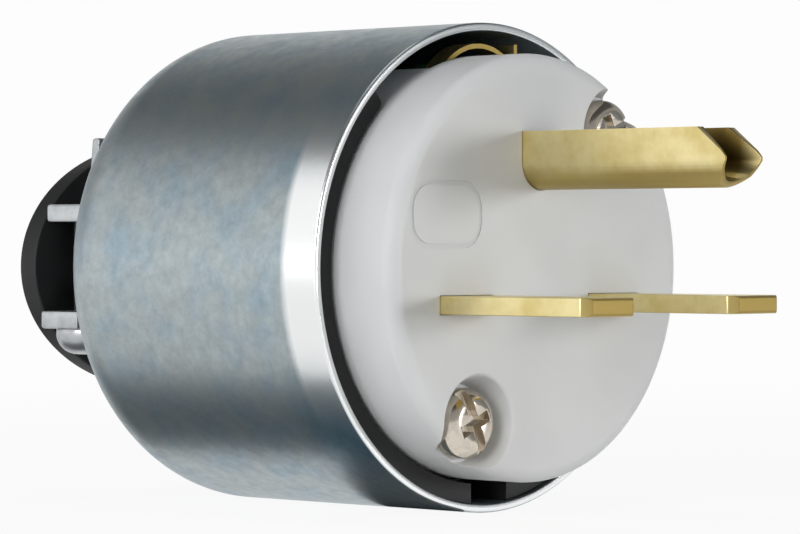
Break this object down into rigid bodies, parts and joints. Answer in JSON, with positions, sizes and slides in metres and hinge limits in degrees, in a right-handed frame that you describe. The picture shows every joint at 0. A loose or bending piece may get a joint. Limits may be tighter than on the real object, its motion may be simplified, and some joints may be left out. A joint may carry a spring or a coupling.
{
  "type": "armored plug",
  "caption": "Armored mains plug: a zinc-plated steel shell around a white nylon body with in-line brass blades, a trough-shaped grounding pin and a rear cord clamp.",
  "frame": {"origin": "on the shell's axis, in the plane of the mating face that the blades stand out of", "axes": "+X along the plug towards the blades, +Z from the blades towards the grounding pin"},
  "size_m": [0.0701, 0.0416, 0.0416],
  "materials": {
    "shell_zinc": "drawn steel, bright zinc plate with a blue passivation",
    "nylon_white": "moulded nylon, satin gloss",
    "brass": "rolled brass, bright",
    "fibre_black": "vulcanised fibre sheet, dull",
    "collar_rubber": "moulded, satin black",
    "clamp_steel": "zinc-plated steel",
    "screw_nickel": "nickel-plated steel",
    "green_screw": "green-dyed zinc plate"
  },
  "bodies": {
    "root": {"shell": "shell_zinc", "insulating_liner": "fibre_black", "front_body": "nylon_white", "rear_barrier": "fibre_black", "line_blade_near": "brass", "line_blade_far": "brass", "line_terminal_screws": "brass", "line_clamp_near": "clamp_steel", "line_clamp_far": "clamp_steel", "ground_pin": "brass", "ground_terminal_screw": "green_screw", "ground_clamp": "clamp_steel", "ground_strap": "brass", "face_screws": "screw_nickel", "screw_yoke": "clamp_steel", "cord_collar": "collar_rubber", "clamp_bracket": "clamp_steel", "clamp_strap": "clamp_steel", "clamp_screws": "clamp_steel", "bracket_rivets": "clamp_steel"}
  },
  "joints": []
}
